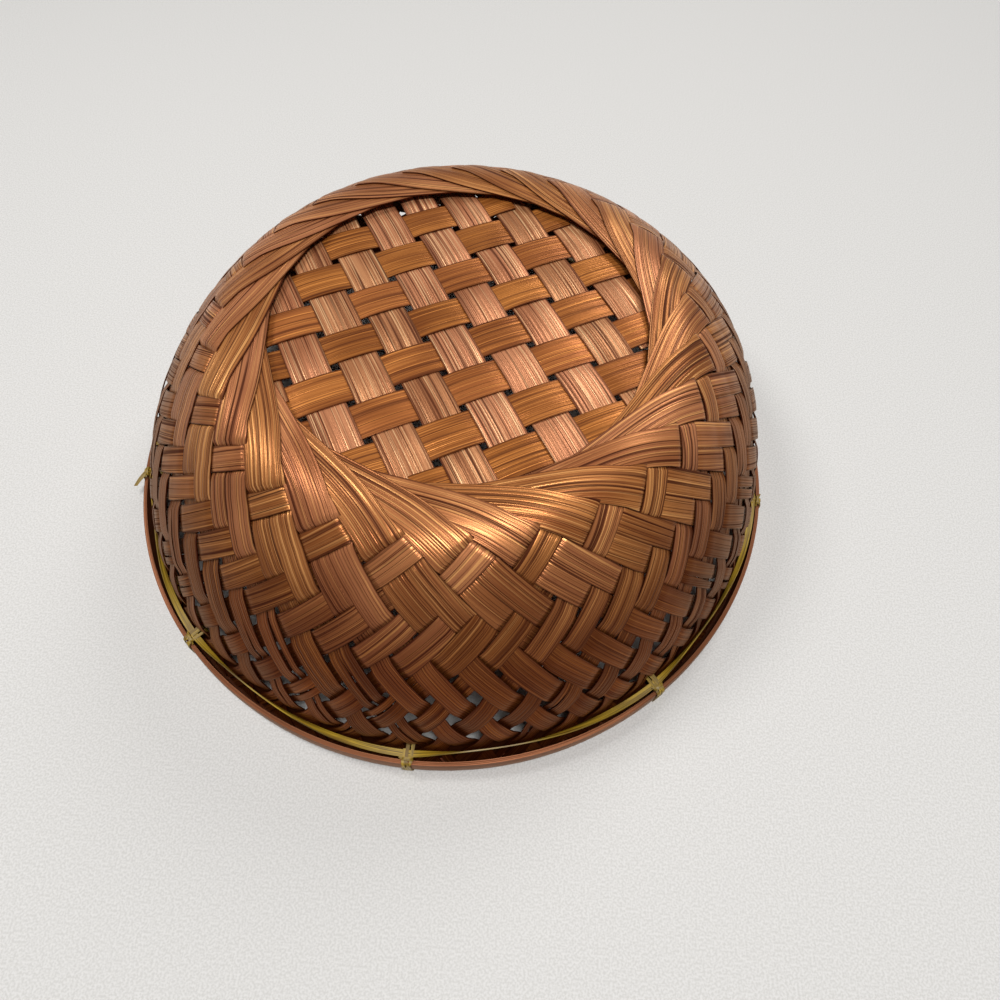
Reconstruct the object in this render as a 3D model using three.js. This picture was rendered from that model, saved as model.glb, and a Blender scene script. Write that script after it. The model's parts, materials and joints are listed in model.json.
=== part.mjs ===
// Bamboo basket standing on its rim, as it is put down to dry.
// Millimetres, +Z up. The rim rests on z = 0 and the woven base is on top.
//
// How the real basket is made:
// 1. wide splints are plaited square into the base mat;
// 2. twenty-six long splints lie tangent to a ring round the mat, each on top of the next one, and
//    both halves of each splint run down the wall, one leaning one way and one the other way;
// 3. on the wall each half is split into two narrow fingers, and the fingers are woven;
// 4. a hoop outside and a hoop inside clamp the ends of the fingers, tied through the weave.
import * as THREE from 'three';

// Rim
const rimRadius = 125.3;          // outside of the outer hoop
const hoopThickness = 1.8;
const hoopHeight = 7.8;
const hoopChamfer = 0.5;
const hoopSides = 60;             // facets round each hoop

// Wall and ring
const ringTopHeight = 77.2;       // middle surface of the ring above the table
const ringCentreRadius = 68.4;    // where a splint's centre line touches the ring circle
const ringFlatMargin = 0.6;       // the top stays flat this far past that circle
const shoulderRadius = 22;
const shoulderAngle = THREE.MathUtils.degToRad(46);
const wallSplintCount = 26;
const ringTurn = THREE.MathUtils.degToRad(-5.5);
const wallSplintWidth = 11.6;
const fingerWidth = 5.4;
const wallSplintThickness = 0.36;
const ringLayerPitch = 0.65;      // from one ring layer to the next
const weaveAmplitude = 0.55;      // how far a finger's middle lies from the wall's middle surface
const ringBendDrop = 6.4;         // a splint's lever arm shrinks by this much as it leaves the ring
const tieRow = 19;                // row of weave holes that lies just above the hoops
const ringBendLength = 14;        // arc lengths over which the lever arm changes
const wallBendLength = 50;
const rowsOfTwo = 3;              // weave rows that hold two crossings, before the single ones
const ringSteps = 5;              // rows of facets from the touching point to the split
const splintEndMargin = 0.6;      // shortest last facet of a finger
const looseShare = 0.3;           // a finger that fills less of a row bends once there, not twice
const bendClearance = 0.05;       // a finger bends just clear of the finger that it crosses

// Hand-made shape: the basket is a little oval, and its wall is fuller at the back right
const ovalShare = 0.017;          // longer by this share along one axis, shorter across it
const ovalTurn = THREE.MathUtils.degToRad(84.6);
const ringShiftX = 1.7;           // the ring isn't right above the rim's middle
const ringShiftY = 0.4;
const wallFullness = 1.7;         // the wall bulges by this much halfway up, all round
const bulge = 8.7;                // and by this much more where it is fullest
const bulgeTurn = THREE.MathUtils.degToRad(58);

// Base mat
const matPitch = 15.2;
const matSplintWidth = 12.6;
const matSplintThickness = 0.4;
const matClearance = 0.2;         // between two crossing splints of the mat
const matTuck = 3.2;              // the mat's splints end this far out beneath the ring
const matDrop = 2.75;             // the mat's middle below the ring's middle
const matTurn = THREE.MathUtils.degToRad(28.41);
const matShiftA = -3.83;          // the mat isn't centred in the ring
const matShiftB = 10.08;

// Ties
const tieCount = 9;
const firstTieTurn = THREE.MathUtils.degToRad(-170.3);
const tieWidth = 2.4;
const tieThickness = 0.45;
const lashingWidth = 2.4;
const lashingThickness = 0.7;
const lashingStepsPerTie = 6;
const seatGap = 0.3;              // clearance between pieces that touch on the real basket

// How finely curves are worked out
const turnSteps = 1200;           // steps of the sum that gives a splint's turn
const turnReach = 1.25;           // how far past the rim that sum runs
const bisections = 30;
const meetPasses = 16;

const ringFlatRadius = ringCentreRadius + ringFlatMargin;
const ringBendRadius = ringCentreRadius - ringBendDrop;
const matRadius = ringCentreRadius + matTuck;
const wallRimRadius = rimRadius - hoopThickness - seatGap - weaveAmplitude - wallSplintThickness / 2;
const bamboo = { golden: 0xb37a3c, rosy: 0xb0785a, hoop: 0xa8735a, olive: 0xa39a4e };

function material(colour, roughness) {
  return new THREE.MeshStandardMaterial({ color: colour, roughness, metalness: 0 });
}

// The middle surface of ring and wall is one turned profile: flat, shoulder, then a long gentle arc.
// Arc length is counted outwards from the circle that the splints touch.
function makeProfile() {
  const flatLength = ringFlatRadius - ringCentreRadius;
  const shoulderLength = shoulderRadius * shoulderAngle;
  const shoulderEnd = new THREE.Vector2(
    ringFlatRadius + shoulderRadius * Math.sin(shoulderAngle),
    ringTopHeight - shoulderRadius * (1 - Math.cos(shoulderAngle)),
  );
  const chord = new THREE.Vector2(wallRimRadius, 0).sub(shoulderEnd);
  const chordSlope = Math.atan2(-chord.y, chord.x);
  const rimSlope = 2 * chordSlope - shoulderAngle;
  const wallRadius = chord.length() / (2 * Math.sin((rimSlope - shoulderAngle) / 2));
  const wallStart = flatLength + shoulderLength;
  const wallLength = wallRadius * (rimSlope - shoulderAngle);

  function at(arc) {
    if (arc < flatLength) return { radius: ringCentreRadius + arc, height: ringTopHeight, slope: 0 };
    if (arc < wallStart) {
      const slope = (arc - flatLength) / shoulderRadius;
      return {
        radius: ringFlatRadius + shoulderRadius * Math.sin(slope),
        height: ringTopHeight - shoulderRadius * (1 - Math.cos(slope)),
        slope,
      };
    }
    const slope = shoulderAngle + (arc - wallStart) / wallRadius;
    return {
      radius: shoulderEnd.x + wallRadius * (Math.sin(slope) - Math.sin(shoulderAngle)),
      height: shoulderEnd.y - wallRadius * (Math.cos(shoulderAngle) - Math.cos(slope)),
      slope,
    };
  }

  function arcAtHeight(height) {
    const slope = Math.acos(Math.cos(shoulderAngle) - (shoulderEnd.y - height) / wallRadius);
    return wallStart + (slope - shoulderAngle) * wallRadius;
  }
  return { at, arcAtHeight, length: wallStart + wallLength };
}

const profile = makeProfile();

function wallPoint(azimuth, arc, offset) {
  const { radius, height, slope } = profile.at(arc);
  const out = radius + offset * Math.sin(slope);
  return new THREE.Vector3(
    out * Math.cos(azimuth),
    out * Math.sin(azimuth),
    height + offset * Math.cos(slope),
  );
}

// A splint runs over the surface like a nearly straight strip: its lever arm about the basket's axis
// changes slowly, and its angle to the ring circle follows from lever arm over radius. This gives how
// far round it has turned when it has come a given arc length down from the ring. The root of the arc
// length is the step, because the turn starts with infinite slope at the touching point.
function makeTurn(wallBendRadius) {
  function pathAngle(arc) {
    const atRing = THREE.MathUtils.smoothstep(arc, 0, ringBendLength);
    const onWall = THREE.MathUtils.smoothstep(arc, ringBendLength, ringBendLength + wallBendLength);
    const leverArm = ringCentreRadius + (ringBendRadius - ringCentreRadius) * atRing
      + (wallBendRadius - ringBendRadius) * onWall;
    return Math.acos(Math.min(1, leverArm / profile.at(arc).radius));
  }

  const lastRoot = Math.sqrt(profile.length * turnReach);
  const turns = [0];
  let slopeBefore = Math.sqrt(2 / ringCentreRadius);
  for (let step = 1; step <= turnSteps; step += 1) {
    const root = (lastRoot * step) / turnSteps;
    const arc = root * root;
    const angle = pathAngle(arc);
    const slope = (2 * root) / (profile.at(arc).radius * Math.tan(angle));
    turns.push(turns[step - 1] + ((slopeBefore + slope) / 2) * (lastRoot / turnSteps));
    slopeBefore = slope;
  }
  function turnAt(arc) {
    const place = (Math.sqrt(Math.max(0, arc)) / lastRoot) * turnSteps;
    const before = Math.min(turnSteps - 1, Math.floor(place));
    return turns[before] + (turns[before + 1] - turns[before]) * (place - before);
  }
  function arcAt(turn) {
    let low = 0;
    let high = turnSteps;
    while (high - low > 1) {
      const middle = (low + high) >> 1;
      if (turns[middle] < turn) low = middle;
      else high = middle;
    }
    const place = low + (turn - turns[low]) / (turns[high] - turns[low]);
    const root = (place * lastRoot) / turnSteps;
    return root * root;
  }
  return { turnAt, arcAt, pathAngle };
}

// Both families cross on rows that lie half a finger pitch apart round the basket.
const splintPitch = (2 * Math.PI) / wallSplintCount;
const fingerPitch = splintPitch / 2;
const rowTurn = fingerPitch / 2;
const rimEdgeHeight = tieThickness + seatGap;
const hoopTop = rimEdgeHeight + hoopHeight;
const tieTopHeight = hoopTop + seatGap + tieThickness / 2;
const rimZoneHeight = hoopTop + seatGap + tieThickness;

// The fingers lean just so much that one row of holes lies where the ties pass through the wall.
function findTurn() {
  const wanted = tieRow * rowTurn;
  const tieArc = profile.arcAtHeight(tieTopHeight);
  let low = 0;
  let high = rimRadius;
  for (let pass = 0; pass < bisections; pass += 1) {
    const middle = (low + high) / 2;
    if (makeTurn(middle).turnAt(tieArc) < wanted) low = middle;
    else high = middle;
  }
  return makeTurn((low + high) / 2);
}

const turn = findTurn();

function leverWidth(width, arc) {
  return width / (profile.at(arc).radius * Math.sin(turn.pathAngle(arc)));
}

function halfFingerInRows(row) {
  return leverWidth(fingerWidth / 2, turn.arcAt(row * rowTurn)) / fingerPitch;
}

// Neighbouring splints of the ring cover each other's edges up to this arc length.
function findCoverArc() {
  let covered = 0;
  let clear = profile.length;
  for (let pass = 0; pass < bisections; pass += 1) {
    const arc = (covered + clear) / 2;
    if (leverWidth(wallSplintWidth, arc) > splintPitch) covered = arc;
    else clear = arc;
  }
  return clear;
}

const coverArc = findCoverArc();

// The first row that is woven is the first whose crossings lie wholly past there.
function findFirstRow() {
  let row = 2;
  while (turn.arcAt((row - 2 * halfFingerInRows(row)) * rowTurn) < coverArc) row += 1;
  return row;
}

const firstRow = findFirstRow();

// Which family lies outside where two fingers cross. A left-leaning finger meets the inner finger of
// a right-leaning splint on every second row, and only that one comes out in the first two rows.
function leftIsOutside(row, leftIsInner) {
  if (row < firstRow) return true;
  if (row < firstRow + 2) {
    const meetsInner = row % 2 === 0 ? !leftIsInner : leftIsInner;
    return !meetsInner;
  }
  const past = row - firstRow - 2;
  const band = past < 2 * rowsOfTwo ? Math.floor(past / 2) : past - rowsOfTwo;
  return band % 2 === 0;
}

function rightIsOutside(row, rightIsInner) {
  const leftIsInner = row % 2 === 0 ? !rightIsInner : rightIsInner;
  return !leftIsOutside(row, leftIsInner);
}

// Turns a surface of triangles into a solid splint of even thickness.
function thicken(points, normals, triangles, thickness) {
  const count = points.length;
  const positions = [];
  for (const side of [0.5, -0.5]) {
    points.forEach((point, i) => {
      positions.push(...point.clone().addScaledVector(normals[i], side * thickness).toArray());
    });
  }
  const index = [];
  const used = new Set();
  for (const [a, b, c] of triangles) {
    index.push(a, b, c, a + count, c + count, b + count);
    used.add(`${a},${b}`).add(`${b},${c}`).add(`${c},${a}`);
  }
  for (const edge of used) {
    const [a, b] = edge.split(',').map(Number);
    if (!used.has(`${b},${a}`)) index.push(b, a, a + count, b, a + count, b + count);
  }
  const geometry = new THREE.BufferGeometry();
  geometry.setAttribute('position', new THREE.Float32BufferAttribute(positions, 3));
  geometry.setIndex(index);
  geometry.computeVertexNormals();
  return geometry;
}

// Joins two rows of a splint, each given from its left edge to its right edge.
function stitch(triangles, near, far) {
  let i = 0;
  let j = 0;
  while (i < near.length - 1 || j < far.length - 1) {
    const nearShare = (i + 1) / (near.length - 1);
    const farShare = (j + 1) / (far.length - 1);
    if (j === far.length - 1 || (i < near.length - 1 && nearShare <= farShare)) {
      triangles.push([near[i], near[i + 1], far[j]]);
      i += 1;
    } else {
      triangles.push([near[i], far[j + 1], far[j]]);
      j += 1;
    }
  }
}

// Finds where a line along a splint meets a line along the other family. Each is given by how far
// round it lies from the basket's start, which changes a little with the arc length.
function meet(ownTurnAt, otherTurnAt) {
  let arc = wallSplintWidth;
  for (let pass = 0; pass < meetPasses; pass += 1) {
    arc = turn.arcAt((otherTurnAt(arc) - ownTurnAt(arc)) / 2);
  }
  return { azimuth: otherTurnAt(arc) - turn.turnAt(arc), arc };
}

const innerFingerTurn = fingerPitch / 2;
const rimArc = profile.arcAtHeight(rimEdgeHeight);

// The outer edge of the last splint that the whole splint covers before its fingers part.
function splitLine(arc) {
  return (firstRow - 1) * fingerPitch + leverWidth(wallSplintWidth / 2, arc);
}

// A point square across the splint from its centre line, as on flat ground.
function squareAcross(arc, side) {
  const angle = turn.pathAngle(arc);
  const { radius } = profile.at(arc);
  const along = radius + side * Math.cos(angle);
  const aside = side * Math.sin(angle);
  return {
    azimuth: turn.turnAt(arc) - Math.atan2(aside, along),
    arc: arc + Math.hypot(along, aside) - radius,
  };
}

// Rows across the whole splint, from the ring's touching point to where its fingers part. The edges
// ease over into the lines that the fingers' edges follow, before neighbouring splints come clear.
function ringRows() {
  const across = [-0.5, 0, 0.5].map((share) => share * wallSplintWidth);
  const lastRow = across.map((side) => meet((arc) => -leverWidth(side, arc), splitLine));
  const rows = [];
  for (let step = 0; step < ringSteps; step += 1) {
    const centreArc = lastRow[1].arc * (step / ringSteps) ** 2;
    rows.push(across.map((side) => {
      const { azimuth, arc } = squareAcross(centreArc, side);
      const ease = THREE.MathUtils.smoothstep(arc, wallSplintWidth / 2, coverArc);
      if (ease === 0) return { azimuth, arc };
      const fingerLine = turn.turnAt(arc) - leverWidth(side, arc);
      return { azimuth: THREE.MathUtils.lerp(azimuth, fingerLine, ease), arc };
    }));
  }
  rows.push(lastRow);
  return rows;
}

// Rows of one finger with the height of each: level where it crosses, sloping in the gaps between.
function fingerRows(leansLeft, isInner) {
  const centre = isInner ? innerFingerTurn : -innerFingerTurn;
  const isOutside = leansLeft ? leftIsOutside : rightIsOutside;
  const bends = [];
  let row = isInner ? firstRow : firstRow + 1;
  while (turn.arcAt((row - 1) * rowTurn) < rimArc) {
    const side = isOutside(row, isInner);
    let last = row;
    while (isOutside(last + 1, isInner) === side && last < row + 2) last += 1;
    const offset = side ? weaveAmplitude : -weaveAmplitude;
    if (last === row && halfFingerInRows(row) < looseShare) {
      bends.push({ row, side: 0, offset });
    } else {
      bends.push({ row, side: -1, offset });
      bends.push({ row: last, side: 1, offset });
    }
    row = last + 1;
  }
  for (const bend of bends) bend.place = bend.row + bend.side * halfFingerInRows(bend.row);
  const offsetAt = (place) => {
    const next = Math.max(1, bends.findIndex((bend) => bend.place > place));
    const share = (place - bends[next - 1].place) / (bends[next].place - bends[next - 1].place);
    return THREE.MathUtils.lerp(bends[next - 1].offset, bends[next].offset, share);
  };
  const edges = [1, -1].map((side) => (arc) => centre + side * leverWidth(fingerWidth / 2, arc));
  const rows = [];
  for (const { row: bendRow, side, offset } of bends) {
    const bendLine = (arc) => {
      return centre + bendRow * fingerPitch + side * leverWidth(fingerWidth / 2 + bendClearance, arc);
    };
    const ends = edges.map((edge) => ({ ...meet(edge, bendLine), offset }));
    if (ends.every((end) => end.arc < rimArc - splintEndMargin)) rows.push(ends);
  }
  rows.push(edges.map((edge) => {
    const otherTurn = edge(rimArc) + 2 * turn.turnAt(rimArc);
    const place = (otherTurn - centre) / fingerPitch;
    return { azimuth: otherTurn - turn.turnAt(rimArc), arc: rimArc, offset: offsetAt(place) };
  }));
  return rows;
}

function makeWallSplint() {
  const points = [];
  const normals = [];
  const triangles = [];
  const add = (azimuth, arc, offset) => {
    const { slope } = profile.at(arc);
    points.push(wallPoint(azimuth, arc, offset));
    normals.push(new THREE.Vector3(
      Math.sin(slope) * Math.cos(azimuth),
      Math.sin(slope) * Math.sin(azimuth),
      Math.cos(slope),
    ));
    return points.length - 1;
  };
  const ring = ringRows();
  const start = ring[0].map(({ azimuth, arc }) => add(azimuth, arc, 0));
  for (const hand of [1, -1]) {
    const half = [];
    let near = start;
    for (const row of ring.slice(1)) {
      const far = row.map(({ azimuth, arc }) => {
        return add(hand * azimuth, arc, (hand * azimuth * ringLayerPitch) / splintPitch);
      });
      stitch(half, near, far);
      near = far;
    }
    for (const isInner of [true, false]) {
      let edge = isInner ? near.slice(0, 2) : near.slice(1);
      for (const row of fingerRows(hand > 0, isInner)) {
        const far = row.map(({ azimuth, arc, offset }) => add(hand * azimuth, arc, offset));
        stitch(half, edge, far);
        edge = far;
      }
    }
    triangles.push(...half.map(([a, b, c]) => (hand > 0 ? [a, b, c] : [a, c, b])));
  }
  return thicken(points, normals, triangles, wallSplintThickness);
}

// The base mat is a plain weave on two square axes. Its splints end in the dark beneath the ring.
const matAxisA = new THREE.Vector2(Math.cos(matTurn), Math.sin(matTurn));
const matAxisB = new THREE.Vector2(Math.sin(matTurn), -Math.cos(matTurn));
const matMiddle = ringTopHeight - matDrop;
const matOffset = (matSplintThickness + matClearance) / 2;

function matIndices(shift) {
  const reach = Math.floor(matRadius / matPitch) + 1;
  const indices = [];
  for (let k = -reach; k <= reach; k += 1) {
    if (Math.abs(k * matPitch + shift) + matSplintWidth / 2 < matRadius) indices.push(k);
  }
  return indices;
}

function makeMatSplint(index, ownShift, crossingShift, across, along, isOutside) {
  const side = index * matPitch + ownShift;
  const halfLength = Math.sqrt(matRadius ** 2 - (Math.abs(side) + matSplintWidth / 2) ** 2);
  const halfLevel = matSplintWidth / 2 + bendClearance;
  const rows = [];
  for (const k of matIndices(crossingShift)) {
    const centre = k * matPitch + crossingShift;
    const height = matMiddle + (isOutside(k) ? matOffset : -matOffset);
    const from = Math.max(centre - halfLevel, -halfLength);
    const to = Math.min(centre + halfLevel, halfLength);
    if (to - from > 2 * bendClearance) rows.push({ place: from, height }, { place: to, height });
  }
  rows[0].place = -halfLength;
  rows[rows.length - 1].place = halfLength;

  const points = [];
  const triangles = [];
  const leftSign = Math.sign(along.cross(across));
  rows.forEach(({ place, height }, i) => {
    for (const edge of [leftSign, -leftSign]) {
      const spot = across.clone().multiplyScalar(side + (edge * matSplintWidth) / 2)
        .addScaledVector(along, place);
      points.push(new THREE.Vector3(spot.x, spot.y, height));
    }
    if (i > 0) stitch(triangles, [2 * i - 2, 2 * i - 1], [2 * i, 2 * i + 1]);
  });
  const up = new THREE.Vector3(0, 0, 1);
  return thicken(points, points.map(() => up), triangles, matSplintThickness);
}

// The hoops are bands of split bamboo with their outer corners rubbed off.
function turnedBand(corners) {
  const loop = [...corners, corners[0]].map(([radius, height]) => new THREE.Vector2(radius, height));
  return new THREE.LatheGeometry(loop, hoopSides).rotateX(Math.PI / 2);
}

function wallRadiusAt(height, offset) {
  const { radius, slope } = profile.at(profile.arcAtHeight(height));
  return radius + offset / Math.sin(slope);
}

const wallHalfStack = weaveAmplitude + wallSplintThickness / 2;
const innerHoopOffset = -(wallHalfStack + seatGap);
const innerHoopFace = innerHoopOffset - hoopThickness;

function makeOuterHoop() {
  const inside = rimRadius - hoopThickness;
  return turnedBand([
    [rimRadius - hoopChamfer, rimEdgeHeight],
    [rimRadius, rimEdgeHeight + hoopChamfer],
    [rimRadius, hoopTop - hoopChamfer],
    [rimRadius - hoopChamfer, hoopTop],
    [inside, hoopTop],
    [inside, rimEdgeHeight],
  ]);
}

function makeInnerHoop() {
  return turnedBand([
    [wallRadiusAt(rimEdgeHeight, innerHoopOffset), rimEdgeHeight],
    [wallRadiusAt(hoopTop, innerHoopOffset), hoopTop],
    [wallRadiusAt(hoopTop, innerHoopFace) + hoopChamfer, hoopTop],
    [wallRadiusAt(hoopTop - hoopChamfer, innerHoopFace), hoopTop - hoopChamfer],
    [wallRadiusAt(rimEdgeHeight + hoopChamfer, innerHoopFace), rimEdgeHeight + hoopChamfer],
    [wallRadiusAt(rimEdgeHeight, innerHoopFace) + hoopChamfer, rimEdgeHeight],
  ]);
}

// A tie goes under both hoops, up their faces and back through a hole of the weave above them.
function makeTie() {
  const outside = rimRadius + seatGap;
  const low = rimEdgeHeight - seatGap;
  const high = hoopTop + seatGap;
  const insideAt = (height) => wallRadiusAt(height, innerHoopFace) - seatGap;
  const path = (grow) => [
    new THREE.Vector2(insideAt(rimEdgeHeight) - grow, low - grow),
    new THREE.Vector2(outside + grow, low - grow),
    new THREE.Vector2(outside + grow, high + grow),
    new THREE.Vector2(insideAt(hoopTop) - grow, high + grow),
  ];
  const band = new THREE.Shape(path(tieThickness));
  band.holes.push(new THREE.Path(path(0)));
  const geometry = new THREE.ExtrudeGeometry(band, { depth: tieWidth, bevelEnabled: false });
  return geometry.translate(0, 0, -tieWidth / 2).rotateX(Math.PI / 2);
}

// The lashing strip runs round on the hoop, flat where it crosses a tie and on edge between ties.
// Opposite faces share the direction of their diagonals, so that the twisted strip keeps its thickness.
function makeLashing(tieTurns) {
  const steps = tieCount * lashingStepsPerTie;
  const middle = wallRadiusAt(hoopTop, wallHalfStack) + seatGap + lashingWidth / 2;
  const onHoop = hoopTop + seatGap;
  const onTie = onHoop + tieThickness + seatGap;
  const positions = [];
  const index = [];
  for (let step = 0; step < steps; step += 1) {
    const tie = Math.floor(step / lashingStepsPerTie);
    const share = (step % lashingStepsPerTie) / lashingStepsPerTie;
    const nextTurn = tieTurns[tie + 1] ?? tieTurns[0] + 2 * Math.PI;
    const onEdge = (1 - Math.cos(2 * Math.PI * share)) / 2;
    const roll = (Math.PI / 2) * onEdge;
    const rise = (lashingWidth * Math.sin(roll) + lashingThickness * Math.cos(roll)) / 2;
    const height = THREE.MathUtils.lerp(onTie, onHoop, onEdge) + rise;
    const azimuth = THREE.MathUtils.lerp(tieTurns[tie], nextTurn, share);
    for (const [w, t] of [[-0.5, -0.5], [0.5, -0.5], [0.5, 0.5], [-0.5, 0.5]]) {
      const across = w * lashingWidth;
      const through = t * lashingThickness;
      const radius = middle + across * Math.cos(roll) - through * Math.sin(roll);
      const z = height + across * Math.sin(roll) + through * Math.cos(roll);
      positions.push(radius * Math.cos(azimuth), radius * Math.sin(azimuth), z);
    }
    for (let side = 0; side < 4; side += 1) {
      const a = 4 * step + side;
      const b = 4 * step + ((side + 1) % 4);
      const c = (a + 4) % (4 * steps);
      const d = (b + 4) % (4 * steps);
      if (side < 2) index.push(a, c, b, b, c, d);
      else index.push(a, c, d, a, d, b);
    }
  }
  const geometry = new THREE.BufferGeometry();
  geometry.setAttribute('position', new THREE.Float32BufferAttribute(positions, 3));
  geometry.setIndex(index);
  geometry.computeVertexNormals();
  return geometry;
}

// Takes a piece of the round basket to where it lies on the real one. Hoops and ties only turn oval.
// Above them the wall also leans with the ring and bulges, most of all halfway up at the back right.
function settle(geometry) {
  const places = geometry.getAttribute('position');
  const along = new THREE.Vector2(Math.cos(ovalTurn), Math.sin(ovalTurn));
  const point = new THREE.Vector3();
  for (let i = 0; i < places.count; i += 1) {
    point.fromBufferAttribute(places, i);
    const azimuth = Math.atan2(point.y, point.x);
    const rise = (point.z - rimZoneHeight) / (ringTopHeight - rimZoneHeight);
    const level = THREE.MathUtils.clamp(rise, 0, 1);
    const towardsBulge = Math.max(0, Math.cos(azimuth - bulgeTurn));
    const swell = (wallFullness + bulge * towardsBulge ** 2) * Math.sin(Math.PI * level);
    const spot = new THREE.Vector2(point.x, point.y);
    const stretch = 2 * ovalShare * spot.dot(along);
    spot.multiplyScalar(1 - ovalShare).addScaledVector(along, stretch);
    spot.x += swell * Math.cos(azimuth) + ringShiftX * level;
    spot.y += swell * Math.sin(azimuth) + ringShiftY * level;
    places.setXY(i, spot.x, spot.y);
  }
  geometry.computeVertexNormals();
  return geometry;
}

const basket = new THREE.Group();

function addPiece(name, geometry, colour, roughness) {
  const piece = new THREE.Mesh(geometry, material(colour, roughness));
  piece.name = name;
  basket.add(piece);
}

function settledCopy(geometry, azimuth) {
  return settle(geometry.clone().rotateZ(azimuth));
}

function numbered(name, index) {
  return `${name}_${String(index + 1).padStart(2, '0')}`;
}

const wallSplint = makeWallSplint();
for (let k = 0; k < wallSplintCount; k += 1) {
  const colour = k % 3 ? bamboo.golden : bamboo.rosy;
  const settled = settledCopy(wallSplint, ringTurn + k * splintPitch);
  addPiece(numbered('wall_splint', k), settled, colour, 0.4);
}

const matAt = { a: matIndices(matShiftA), b: matIndices(matShiftB) };
matAt.a.forEach((k, i) => {
  const isOutside = (other) => (k + other) % 2 === 0;
  const splint = makeMatSplint(k, matShiftA, matShiftB, matAxisA, matAxisB, isOutside);
  addPiece(numbered('mat_splint_a', i), splint, bamboo.rosy, 0.4);
});
matAt.b.forEach((k, i) => {
  const isOutside = (other) => (k + other) % 2 !== 0;
  const splint = makeMatSplint(k, matShiftB, matShiftA, matAxisB, matAxisA, isOutside);
  addPiece(numbered('mat_splint_b', i), splint, bamboo.golden, 0.4);
});

addPiece('outer_hoop', settle(makeOuterHoop()), bamboo.hoop, 0.45);
addPiece('inner_hoop', settle(makeInnerHoop()), bamboo.hoop, 0.45);

// Each tie goes to the hole that lies nearest to its even share of the rim.
const holeTurn = ringTurn + (tieRow % 2) * rowTurn;
const tieTurns = Array.from({ length: tieCount }, (_, k) => {
  const share = firstTieTurn + (2 * Math.PI * k) / tieCount;
  return holeTurn + Math.round((share - holeTurn) / fingerPitch) * fingerPitch;
});
const tie = makeTie();
tieTurns.forEach((azimuth, k) => {
  addPiece(numbered('rim_tie', k), settledCopy(tie, azimuth), bamboo.olive, 0.5);
});
addPiece('lashing_strip', settle(makeLashing(tieTurns)), bamboo.olive, 0.5);

export default basket;
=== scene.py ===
# %% [markdown]
# # A bamboo basket, standing on its rim
# The basket is plaited from split bamboo. A square mat makes the base, a twisted ring of long splints
# closes it, and the halves of those splints cross down the wall until two hoops clamp their ends.
# A strip could be a curve with a flat section. Here each one starts as a flat bmesh grid that a formula
# bends, because then its lengths along the fibres stay known, and the bamboo finish needs them.
# Everything is in metres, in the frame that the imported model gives.

# %% Load the frame
import json
import math
import random

import bmesh
import bpy
import numpy as np
from mathutils import Matrix, Vector

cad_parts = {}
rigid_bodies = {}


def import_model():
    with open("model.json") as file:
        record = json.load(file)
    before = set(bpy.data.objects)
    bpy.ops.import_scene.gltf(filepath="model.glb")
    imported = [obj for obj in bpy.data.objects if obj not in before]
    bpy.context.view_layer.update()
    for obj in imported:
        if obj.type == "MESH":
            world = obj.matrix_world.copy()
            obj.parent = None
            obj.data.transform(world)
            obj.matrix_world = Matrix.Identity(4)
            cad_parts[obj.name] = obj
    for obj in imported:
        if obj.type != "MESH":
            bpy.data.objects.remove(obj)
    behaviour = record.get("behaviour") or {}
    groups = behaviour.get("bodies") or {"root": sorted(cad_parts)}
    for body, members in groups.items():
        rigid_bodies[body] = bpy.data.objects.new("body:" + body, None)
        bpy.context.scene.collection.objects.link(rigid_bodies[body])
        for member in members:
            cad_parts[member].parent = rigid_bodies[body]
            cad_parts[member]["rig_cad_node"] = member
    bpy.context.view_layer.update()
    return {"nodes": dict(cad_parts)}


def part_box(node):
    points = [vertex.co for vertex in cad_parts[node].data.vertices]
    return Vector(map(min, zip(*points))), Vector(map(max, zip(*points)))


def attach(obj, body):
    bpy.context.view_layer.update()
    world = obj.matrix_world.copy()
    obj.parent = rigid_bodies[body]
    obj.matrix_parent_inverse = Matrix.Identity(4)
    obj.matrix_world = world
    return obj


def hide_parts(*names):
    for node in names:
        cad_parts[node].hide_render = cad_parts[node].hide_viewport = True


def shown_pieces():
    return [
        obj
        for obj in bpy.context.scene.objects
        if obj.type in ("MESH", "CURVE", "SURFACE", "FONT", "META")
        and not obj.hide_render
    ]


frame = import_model()
print("CAD nodes:", len(frame["nodes"]))

# %% [markdown]
# ## The camera
# The photograph looks down at the basket from the front. The lens is a phone's wide one, so near splints
# look larger than far ones, and a camera that is held by hand is never quite level. That is why the
# camera gets an elevation, a small roll, and a lens in place of the default ones. A camera that is aimed
# at a point would be shorter to write, but it can't roll.

# %% Camera
camera_place = Vector((0.01878, -0.16596, 0.24509))
camera_elevation = math.radians(59.56)
camera_roll = math.radians(4.11)
lens_width = 0.70185            # focal length as a share of the picture's width
sensor_width = 36.0
nearest_seen = 0.01

level_right = Vector((1, 0, 0))
backward = Vector((0, -math.cos(camera_elevation), math.sin(camera_elevation)))
level_up = backward.cross(level_right)
right = math.cos(camera_roll) * level_right + math.sin(camera_roll) * level_up
up = math.cos(camera_roll) * level_up - math.sin(camera_roll) * level_right

camera_data = bpy.data.cameras.new("camera")
camera_data.sensor_width = sensor_width
camera_data.lens = sensor_width * lens_width
camera_data.clip_start = nearest_seen
camera = bpy.data.objects.new("camera", camera_data)
camera.matrix_world = Matrix.Translation(camera_place) @ Matrix((right, up, backward)).transposed().to_4x4()
bpy.context.scene.collection.objects.link(camera)
bpy.context.scene.camera = camera
print("lens:", round(camera_data.lens, 2), "mm")

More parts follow.
